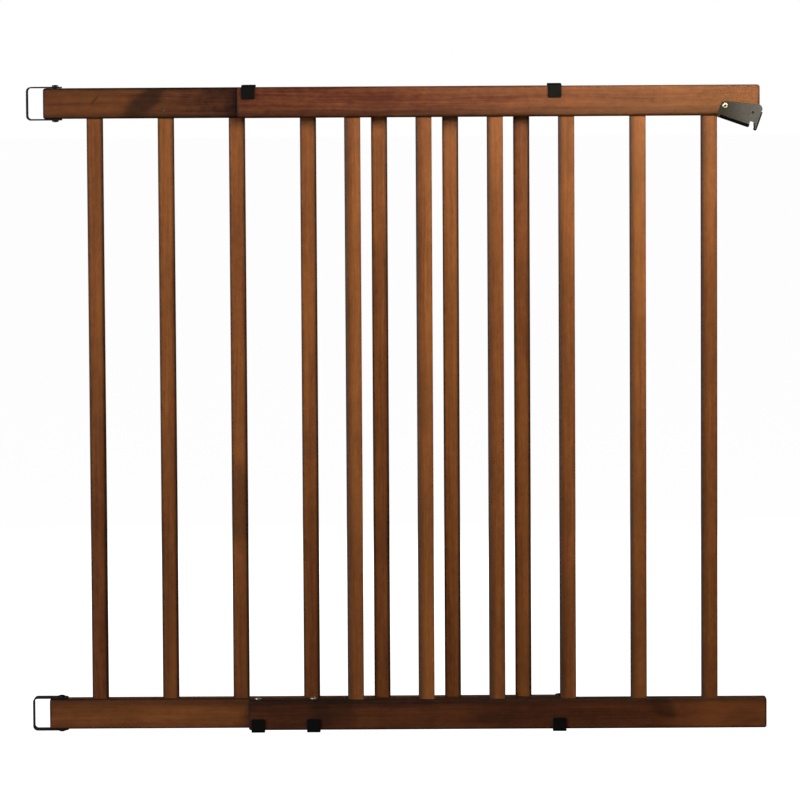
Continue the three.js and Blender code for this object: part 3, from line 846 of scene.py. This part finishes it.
def make_loop(node, material, screws):
    """The hinge strap, bent to a U round the rail's end."""
    low, high, middle = span_of(node)
    half = STRAP_THICKNESS / 2
    top, bottom, outer = high.z - half, low.z + half, low.x + half
    corners = [(high.x, top), (outer, top), (outer, bottom), (high.x, bottom)]
    path = bent_path(corners, STRAP_BEND, 12)
    points, faces = ribbon(path, high.y - low.y, STRAP_THICKNESS, STRAP_TIP, STRAP_RIM)
    shape = ([Vector((p.x, middle.y + p.z, p.y)) for p in points], faces)
    piece = mesh_piece(node + "_strap", shape, 50)
    x = middle_of(screws[0]).x
    cut_away(piece, [bore(x, middle.y, low.z - 1, high.z + 1, SCREW_RADIUS + GAP)], 50)
    weigh_normals(piece)
    return stand_for(piece, node, material)


def make_bracket(node, material, holes):
    """A U channel over both panels' rails, with soft moulded edges."""
    low, high, middle = span_of(node)
    half = BRACKET_WALL / 2
    web, lip = (high.z - half, low.z) if "top" in node else (low.z + half, high.z)
    front, back = low.y + half, high.y - half
    path = bent_path([(front, lip), (front, web), (back, web), (back, lip)], BRACKET_BEND, 7)
    points, faces = ribbon(path, high.x - low.x, BRACKET_WALL, BRACKET_TIP, BRACKET_RIM)
    shape = ([Vector((middle.x + p.z, p.x, p.y)) for p in points], faces)
    piece = mesh_piece(node + "_channel", shape, 50)
    cut_away(piece, holes, 50)
    weigh_normals(piece)
    return stand_for(piece, node, material)


# ---------- latch ----------

# (x, z) places on the lever are measured from its pivot, before it droops

LEVER_SHEET = 1.2
LEVER_EYE = 5.3
LEVER_REACH = 43.4
RETURN_FACE = 44.6  # outer face of the edge that is bent back down the nose and round the tooth
RETURN_TOP = 6.8
RETURN_DEPTH = 3.5
RETURN_ROLL = 1.9  # outer radius of that bend
RETURN_CLEAR = 1.2  # left of the tooth's middle by this much, the edge isn't bent deeper
LEVER_RIM = 0.32  # rounding of every edge of the sheet
LEVER_TAPER = math.radians(10.4)
LEVER_NOSE = 6.0
LEVER_HEEL = 1.5
LEVER_DROOP = math.radians(19.3)
HEM_TOP = -11.0
HEM_RADIUS = 4.6
HEM_START = -1.8
HEM_END = 34.2
HEM_FLANGE = 6.0
HEM_BULGE = 0.5
HEM_CORNER = 1.6
NOTCH_LEFT = 34.1
NOTCH_RIGHT = 38.2
NOTCH_TOP = -7.7
NOTCH_ROUND = 0.8
TOOTH = (42.4, -14.4)
TOOTH_ROUND = 2.1
PIVOT_HOLE = 2.35
DIMPLE = (33.6, 2.9)
DIMPLE_RADIUS = 1.5
DIMPLE_DEPTH = 0.45
TO_Y = Matrix.Rotation(math.pi / 2, 4, "X")  # lays a turned piece along Y, its top to the front


def arc(centre, radius, start, end, steps):
    return [(centre[0] + radius * math.cos(start + (end - start) * i / steps),
             centre[1] + radius * math.sin(start + (end - start) * i / steps))
            for i in range(steps + 1)]


def lever_rim():
    """The outer line of the bent-back edge: from the notch round the tooth and up the nose."""
    left = [(NOTCH_RIGHT, NOTCH_TOP - NOTCH_ROUND)]
    tooth = arc(TOOTH, TOOTH_ROUND, -math.pi - LEVER_DROOP, 0.0, 14)
    return left + tooth + [(RETURN_FACE, -9.0), (RETURN_FACE, 0.0), (RETURN_FACE, RETURN_TOP)]


def lever_outline(rim):
    """The lever's flat face: from the hem's right end round by the notch, the given rim line,
    the nose and the eye."""
    top_edge = LEVER_EYE / math.cos(LEVER_TAPER)
    nose_top = top_edge + LEVER_REACH * math.tan(LEVER_TAPER)
    quarter = math.pi / 2
    setback = LEVER_NOSE * math.tan((quarter - LEVER_TAPER) / 2)
    left, right = NOTCH_LEFT + NOTCH_ROUND, NOTCH_RIGHT - NOTCH_ROUND
    roof = NOTCH_TOP - NOTCH_ROUND
    outline = [(NOTCH_LEFT, HEM_TOP)]
    outline += arc((left, roof), NOTCH_ROUND, math.pi, quarter, 4)
    outline += arc((right, roof), NOTCH_ROUND, quarter, 0.0, 4)[:-1]
    outline += rim
    nose = (LEVER_REACH - LEVER_NOSE, nose_top - setback)
    outline += arc(nose, LEVER_NOSE, 0.0, quarter + LEVER_TAPER, 12)
    outline += arc((0, 0), LEVER_EYE, quarter + LEVER_TAPER, math.pi, 8)
    foot = HEM_TOP - HEM_RADIUS
    heel = (LEVER_HEEL - LEVER_EYE, foot + LEVER_HEEL)
    outline += arc(heel, LEVER_HEEL, math.pi, 1.5 * math.pi, 5)
    outline.append((HEM_START, foot))
    outline.append((HEM_START, HEM_TOP))
    return outline


def inset_line(line, depth):
    """An open line moved to its left by a depth, corner by corner."""
    moved_line = []
    for i, point in enumerate(line):
        before, after = Vector(line[max(i - 1, 0)]), Vector(line[min(i + 1, len(line) - 1)])
        ahead = (after - before).normalized()
        moved_line.append((point[0] - ahead.y * depth, point[1] + ahead.x * depth))
    return moved_line


def lever_sheet():
    """The lever's middle surface: its face, the lower edge bent back to a flange, and the rim
    of the nose and tooth bent back."""
    half = LEVER_SHEET / 2
    outer = inset_line(lever_rim(), half)
    roll = RETURN_ROLL - half
    face_line = inset_line(outer, roll)
    outline = lever_outline(face_line)
    points = [Vector((x, 0, z)) for x, z in outline]
    faces = [tuple(range(len(points)))]

    bend = HEM_RADIUS - half
    rows = [(bend * (1 - math.cos(a)), HEM_TOP - bend * math.sin(a))
            for a in (math.radians(90 * i / 10) for i in range(1, 11))]
    rows.append((bend + HEM_FLANGE, HEM_TOP - bend))
    left, right = len(points) - 1, 0
    for y, z in rows:
        end = HEM_END + HEM_BULGE - shortfall(HEM_CORNER, z - HEM_TOP + HEM_RADIUS - half)
        points += [Vector((HEM_START, y, z)), Vector((end, y, z))]
        faces.append((left, len(points) - 2, len(points) - 1, right))
        left, right = len(points) - 2, len(points) - 1

    start = outline.index(face_line[0])
    below = list(range(start, start + len(face_line)))
    levels = [(roll * math.sin(a), roll * (1 - math.cos(a)))
              for a in (math.radians(90 * i / 4) for i in range(1, 5))]
    for out, y in levels + [(roll, RETURN_DEPTH)]:
        row = inset_line(outer, roll - out)
        above_row = list(range(len(points), len(points) + len(row)))
        clear = TOOTH[0] - RETURN_CLEAR  # only what passes outside the rail's end is bent deep
        points += [Vector((x, y if x > clear else min(y, roll + 0.1), z)) for x, z in row]
        for k in range(len(row) - 1):
            faces.append((below[k], below[k + 1], above_row[k + 1], above_row[k]))
        below = above_row
    return points, faces


def make_lever(node, pivot_node, material):
    """The latch lever: its sheet, given a thickness, with the pivot hole and the dimple."""
    low, _ = box_of(node)
    pivot = middle_of(pivot_node)
    face_y = low.y + LEVER_SHEET / 2
    turn = Matrix.Rotation(LEVER_DROOP, 4, "Y")
    piece = mesh_piece(node + "_sheet", moved(lever_sheet(), pivot.x, face_y, pivot.z, turn), 60)
    solid = piece.modifiers.new("sheet", "SOLIDIFY")
    solid.thickness = LEVER_SHEET * MM
    solid.offset = 0.0
    solid.use_even_offset = True
    keep_result(piece, 50)
    lens = DIMPLE_RADIUS**2 / (2 * DIMPLE_DEPTH) + DIMPLE_DEPTH / 2
    ball = turned([(lens * math.sin(math.radians(a)), -lens * math.cos(math.radians(a)))
                   for a in range(0, 181, 9)], 36)
    depth = -LEVER_SHEET / 2 - lens + DIMPLE_DEPTH
    hole = moved(turned([(PIVOT_HOLE, -4), (PIVOT_HOLE, 4)], 32), turn=TO_Y)
    cutters = [moved(hole, pivot.x, face_y, pivot.z),
               moved(moved(ball, DIMPLE[0], depth, DIMPLE[1]), pivot.x, face_y, pivot.z, turn)]
    cut_away(piece, cutters, 40)
    rim = piece.modifiers.new("rim", "BEVEL")
    rim.width = LEVER_RIM * MM
    rim.segments = 2
    rim.limit_method = "ANGLE"
    rim.angle_limit = math.radians(50)
    keep_result(piece, 50)
    # painted shade: the hem and bent edges, turned from the light, go nearly black
    painted_shade_mark(piece, lambda face: abs(face.normal.y) < 0.985)
    weigh_normals(piece)
    return stand_for(piece, node, material)


def make_pivot_bolt(node, material):
    """A bolt with a flat-topped button head, whose hexagon recess gets painted shade."""
    low, high, centre = span_of(node)
    rim, head = (high.x - low.x) / 2, PIVOT_HEAD
    length = high.y - low.y - head
    profile = [(0.0, -length), (PIVOT_RADIUS - 0.4, -length), (PIVOT_RADIUS, 0.4 - length),
               (PIVOT_RADIUS, 0.0)]
    button = [(rim - 0.15, 0.0), (rim, 0.15), (rim, 1.2), (rim - 0.4, 1.8), (rim - 0.8, head)]
    place = (centre.x, low.y + head, centre.z)
    shape = turned(profile + button + [(0.0, head)])
    piece = mesh_piece(node + "_turned", moved(shape, *place, TO_Y))
    cut_away(piece, [moved(hex_socket(PIVOT_SOCKET, head), *place, TO_Y)])
    axis = Vector((centre.x, centre.z))
    # painted shade in the hexagon recess
    painted_shade_mark(piece, lambda face: (face.center.xz / MM - axis).length < PIVOT_SOCKET + 0.05)
    return stand_for(piece, node, material)


def make_ring(node, inner, material):
    """A turned ring with chamfered rims, on an axis along Y."""
    low, high, centre = span_of(node)
    outer, half = (high.x - low.x) / 2, (high.y - low.y) / 2
    rim = min(0.3, half / 2)
    rows = [(outer - rim, -half), (outer, rim - half), (outer, half - rim), (outer - rim, half)]
    piece = mesh_piece(node + "_turned", moved(turned(rows), *centre, TO_Y))
    hole = turned([(inner, -half - 1), (inner, half + 1)], 32)
    cut_away(piece, [moved(hole, *centre, TO_Y)])
    return stand_for(piece, node, material)


def make_brads(name, body, places, material):
    """Nail heads just under the wood's surface: (x, z, surface y, facing), facing -1 front."""
    profile = [(0.0, -1.2), (0.5, -1.2), (BRAD_RADIUS, -0.3), (BRAD_RADIUS, -0.08),
               (BRAD_RADIUS * 0.8, 0.0), (0.0, 0.03)]
    shapes = []
    for x, z, y, facing in places:
        turn = Matrix.Rotation(math.radians(90 if facing < 0 else -90), 4, "X")
        shapes.append(moved(turned(profile, BRAD_SIDES), x, y - facing * BRAD_SINK, z, turn))
    piece = mesh_piece(name, merged(shapes))
    piece.data.materials.append(material)
    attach(piece, body)
    return piece


# ---------- materials ----------

RAIL_LEFT = -half_of("rear_top_rail").x * MM  # a rail's left end, from its centre
PIVOT_X = middle_of("latch_pivot_bolt").x * MM
DEEP = (0.075, 0.0102, 0.0020)
GOLDEN = (0.380, 0.1290, 0.0280)
SLAT_FADE = (-0.32, 0.32, -0.06, 0.08)
SLAT_PATCH = (-0.115, 0.0, 0.060, 0.030, 0.0, 0.42)
SLAT_WOOD = wood("stained wood of the slats", DEEP, GOLDEN, SLAT_FADE)
PATCHED_WOOD = wood("stained wood of a slat with a darker patch", DEEP, GOLDEN, SLAT_FADE,
                    marks=(SLAT_PATCH,))
TOP_MARKS = ((RAIL_LEFT + 0.119, 0.0, 0.021, 0.024, 0.9, 0.58),
             (RAIL_LEFT + 0.058, 0.004, 0.0022, 0.007, 0.8, 0.45))
TOP_WOOD = wood("stained wood with darker marks", (0.026, 0.0040, 0.0009),
                (0.250, 0.0770, 0.0165), (-0.25, -0.09, 0.08, -0.36), 0.22, TOP_MARKS)
BOTTOM_WOOD = wood("stained wood of the rear bottom rail", DEEP, GOLDEN,
                   (-1, 1, -0.02, -0.02), 0.16)
PALE_WOOD = wood("pale stained wood", DEEP, GOLDEN, (-0.22, 0.32, -0.38, 0.02), 0.14)
DARK_MARKS = ((-0.205, 0.0, 0.034, 0.050, 0.0, 0.35), (0.187, 0.010, 0.018, 0.020, -0.5, 0.45))
DARK_WOOD = wood("dark stained wood", (0.040, 0.0075, 0.0020), (0.210, 0.0600, 0.0140),
                 (0.160, 0.250, -0.23, 0.34), 0.26, DARK_MARKS)
BLACK_STEEL = coated_steel("black steel", (0.020, 0.021, 0.022), 0.38, 0.4, (0.10, 0.10, 0.10))
# the lever's coat is painted dark by its pivot and light towards its nose: a painted reflection
LATCH_STEEL = coated_steel("charcoal steel with painted reflection", (0.080, 0.079, 0.080), 0.45, 0.3,
                           (0.13, 0.13, 0.13), (PIVOT_X - 0.0075, PIVOT_X + 0.0405, 0.12, 0.90))
PLASTIC = moulded_plastic("black plastic", (0.0024, 0.0022, 0.0026))
BRIGHT = bare_metal("zinc plated steel", (0.82, 0.82, 0.80), 0.46)
SCREWS = bare_metal("blackened steel", (0.07, 0.06, 0.055), 0.36)
BRADS = bare_metal("nail heads", (0.30, 0.24, 0.19), 0.45)

# ---------- assembly ----------

REAR_SLATS = [f"rear_slat_{i}" for i in range(1, 8)]
FRONT_SLATS = [f"front_slat_{i}" for i in range(1, 7)]
# how light each slat's stain is at its foot and at its head
REAR_TONES = ((-0.08, -0.10), (0.00, 0.00), (0.02, -0.02), (-0.09, -0.02), (-0.10, 0.00),
              (0.13, -0.04), (0.17, -0.28))
FRONT_TONES = ((0.27, -0.10), (0.34, -0.10), (0.04, -0.03), (0.04, 0.00), (0.14, 0.16),
               (0.03, -0.15))
for seed, (node, tone) in enumerate(zip(REAR_SLATS, REAR_TONES)):
    make_slat(node, tone, 1, seed + 1, PATCHED_WOOD if node == "rear_slat_3" else SLAT_WOOD)
for seed, (node, tone) in enumerate(zip(FRONT_SLATS, FRONT_TONES)):
    make_slat(node, tone, -1, seed + 11, SLAT_WOOD)


def screw_bore(node):
    low, high, centre = span_of(node)
    return bore(centre.x, centre.y, low.z - GAP, high.z, SCREW_RADIUS + GAP)


def bolt_bores(bolt):
    """A bolt's own bore in the rail, and the pocket over its nut."""
    low, high, centre = span_of(bolt)
    nut_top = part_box("rear_bottom_rail")[0].z / MM + NUT_POCKET
    return [bore(centre.x, centre.y, low.z - 2, high.z + 1, BOLT_BORE),
            bore(centre.x, centre.y, low.z - 3, nut_top, NUT_RADIUS + 1)]


def nail_row(rail, slat_nodes):
    """Brads on a rail's back face, one to a slat: (x, z, surface y, facing)."""
    low, high = box_of(rail)
    z = low.z + BRAD_INSET if "top" in rail else high.z - BRAD_INSET
    return [(middle_of(s).x, z, high.y, 1) for s in slat_nodes]


def seen_brad():
    """The one brad on the front, over the second rear slat and a little off its middle."""
    low, _ = box_of("rear_top_rail")
    return (middle_of("rear_slat_2").x - 1.8, low.z + BRAD_INSET, low.y, -1)


def insert_bore():
    """The hole for the threaded insert, from the front rail's front face."""
    place, face_y = middle_of("latch_insert"), box_of("front_top_rail")[0].y
    hole = turned([(INSERT_SEAT, 0), (INSERT_SEAT, 14)], 24)
    return moved(hole, place.x, face_y - 1, place.z, Matrix.Rotation(math.radians(-90), 4, "X"))


rear_top_brads = nail_row("rear_top_rail", REAR_SLATS)
rear_bottom_brads = nail_row("rear_bottom_rail", REAR_SLATS)
front_top_brads = nail_row("front_top_rail", FRONT_SLATS)
front_bottom_brads = nail_row("front_bottom_rail", FRONT_SLATS)
make_brads("rear_panel_brads", "rear_panel",
           rear_top_brads + rear_bottom_brads + [seen_brad()], BRADS)
make_brads("front_panel_brads", "front_panel", front_top_brads + front_bottom_brads, BRADS)

hinge_screws = {level: [f"{level}_hinge_screw_{end}" for end in ("top", "under")]
                for level in ("lower", "upper")}
# the number after each rail's name is how far its painted side shade reaches
make_rail("rear_top_rail", 0.0, TOP_WOOD, 21, REAR_SLATS,
          [screw_bore(s) for s in hinge_screws["upper"]] + [screw_bore("rear_top_bracket_screw")],
          [seen_brad()] + rear_top_brads)
make_rail("rear_bottom_rail", 0.5, BOTTOM_WOOD, 22, REAR_SLATS,
          [screw_bore(s) for s in hinge_screws["lower"]] + bolt_bores("rear_bracket_bolt"),
          rear_bottom_brads)
make_rail("front_top_rail", 0.8, PALE_WOOD, 23, FRONT_SLATS,
          [screw_bore("front_top_bracket_screw"), insert_bore()], front_top_brads)
make_rail("front_bottom_rail", 0.0, DARK_WOOD, 24, FRONT_SLATS,
          bolt_bores("lock_bolt_1") + bolt_bores("lock_bolt_2"), front_bottom_brads)

for level, screws in hinge_screws.items():
    make_loop(f"{level}_hinge_loop", BLACK_STEEL, screws)
    make_round_screw(screws[0], SCREWS, 1)
    make_round_screw(screws[1], SCREWS, -1)

for panel in ("front", "rear"):
    screw = f"{panel}_top_bracket_screw"
    low, high, centre = span_of(screw)
    rim = (high.x - low.x) / 2
    cone = [(SCREW_RADIUS + GAP, high.z - 5), (SCREW_RADIUS + GAP, high.z - BRACKET_WALL),
            (rim + GAP, high.z - 0.1), (rim + GAP, high.z + 1)]
    make_bracket(f"{panel}_top_bracket", PLASTIC, [moved(turned(cone), centre.x, centre.y)])
    make_flat_screw(screw, SCREWS)

BOLTED = (("front_bottom_bracket_1", "lock_bolt_1", "bright_steel", BRIGHT),
          ("front_bottom_bracket_2", "lock_bolt_2", "bright_steel", BRIGHT),
          ("rear_bottom_bracket", "rear_bracket_bolt", "dark_screws", SCREWS))
for bracket, bolt, slot, steel in BOLTED:
    low, high, centre = span_of(bolt + "_nut")
    wall = NUT_RADIUS + GAP
    pocket = turned([(wall, low.z - 3), (wall, high.z)], 6, hexagon_turn(low, high))
    make_bracket(bracket, PLASTIC, [moved(pocket, centre.x, centre.y)])
    make_bolt(bolt, steel)
    make_nut(bolt + "_nut", steel)

make_lever("latch_lever", "latch_pivot_bolt", LATCH_STEEL)
make_pivot_bolt("latch_pivot_bolt", BRIGHT)
make_ring("latch_spacer", PIVOT_HOLE, BRIGHT)
make_ring("latch_insert", INSERT_BORE, BRIGHT)

# ---------- stage ----------

FLOOR_DROP = 0.045  # clearance under the gate, which hangs from its wall hooks
FLOOR_RADIUS = 30.0
FLOOR_SIDES = 96
FLOOR_GREY = 0.30
FLOOR_GLOW = 0.97
SKY_GLOW = 0.04  # the world's light on the gate; the camera sees plain white
WARM = (1.0, 0.83, 0.46)  # the gloss on the lacquered wood

# name, place and target in metres, size, watts
LAMPS = (("key", (0.62, -0.62, 0.96), (0.58, 0.0, 0.50), (0.60, 0.35), 6.1),
         ("sheen", (0.92, -0.62, 0.93), (0.75, 0.0, 0.65), (0.50, 0.30), 3.4),
         ("fill", (-1.9, -2.2, 0.6), (0.45, 0.0, 0.35), (1.4, 1.4), 36),
         ("back", (0.3, 2.4, 1.2), (0.45, 0.0, 0.35), (1.8, 1.4), 48),
         ("side", (2.3, -0.7, 0.9), (0.65, 0.0, 0.40), (1.0, 1.0), 9))
WITHOUT_GLOSS = ("key", "back", "side")

CAMERA_PLACE = (0.4548, -5.9181, 0.8332)
CAMERA_HEADING = 0.00261
CAMERA_DIP = 0.07773  # below level
CAMERA_ROLL = -0.00601
LENS = 225.0
SENSOR = 36.0


def make_floor():
    low, _ = CAD_BOX
    mesh = bpy.data.meshes.new("floor")
    ring = circle(FLOOR_RADIUS, low.z - FLOOR_DROP, FLOOR_SIDES)
    mesh.from_pydata(ring, [], [tuple(range(FLOOR_SIDES))])
    floor = bpy.data.objects.new("floor", mesh)
    bpy.context.scene.collection.objects.link(floor)
    g = Graph("pale floor")
    mesh.materials.append(g.set(Base_Color=opaque((FLOOR_GREY,) * 3), Roughness=0.9,
                                Emission_Color=(1, 1, 1, 1), Emission_Strength=FLOOR_GLOW,
                                Specular_IOR_Level=0.0))
    floor.visible_diffuse = False
    floor.visible_glossy = False


def softbox(name, place, target, size, watts):
    light = bpy.data.lights.new(name, "AREA")
    light.shape = "RECTANGLE"
    light.size, light.size_y = size
    light.energy = watts
    lamp = bpy.data.objects.new(name, light)
    bpy.context.scene.collection.objects.link(lamp)
    lamp.location = place
    lamp.rotation_euler = (Vector(target) - Vector(place)).to_track_quat("-Z", "Y").to_euler()
    lamp.visible_camera = False
    return lamp


def make_lights():
    lamps = {row[0]: softbox(*row) for row in LAMPS}
    lamps["sheen"].data.color = WARM
    lamps["sheen"].visible_diffuse = False
    for name in WITHOUT_GLOSS:
        lamps[name].visible_glossy = False


def make_world():
    """White to the camera, and only a faint soft light on the gate."""
    world = bpy.data.worlds.new("studio")
    world.use_nodes = True
    tree = world.node_tree
    seen, soft = tree.nodes["Background"], tree.nodes.new("ShaderNodeBackground")
    for shader, strength in ((seen, 1.0), (soft, SKY_GLOW)):
        shader.inputs["Color"].default_value = (1, 1, 1, 1)
        shader.inputs["Strength"].default_value = strength
    path = tree.nodes.new("ShaderNodeLightPath")
    mix = tree.nodes.new("ShaderNodeMixShader")
    tree.links.new(path.outputs["Is Camera Ray"], mix.inputs[0])
    tree.links.new(soft.outputs[0], mix.inputs[1])
    tree.links.new(seen.outputs[0], mix.inputs[2])
    tree.links.new(mix.outputs[0], tree.nodes["World Output"].inputs["Surface"])
    bpy.context.scene.world = world


def make_camera():
    data = bpy.data.cameras.new("camera")
    data.sensor_width = SENSOR
    data.lens = LENS
    data.clip_end = 200.0
    camera = bpy.data.objects.new("camera", data)
    bpy.context.scene.collection.objects.link(camera)
    turn = Matrix.Rotation(CAMERA_HEADING, 4, "Z")
    turn = turn @ Matrix.Rotation(math.pi / 2 - CAMERA_DIP, 4, "X")
    turn = turn @ Matrix.Rotation(CAMERA_ROLL, 4, "Z")
    camera.matrix_world = Matrix.Translation(CAMERA_PLACE) @ turn
    bpy.context.scene.camera = camera


make_floor()
make_lights()
make_world()
make_camera()
bpy.context.scene.view_settings.view_transform = "Standard"
bpy.context.scene.view_settings.look = "None"
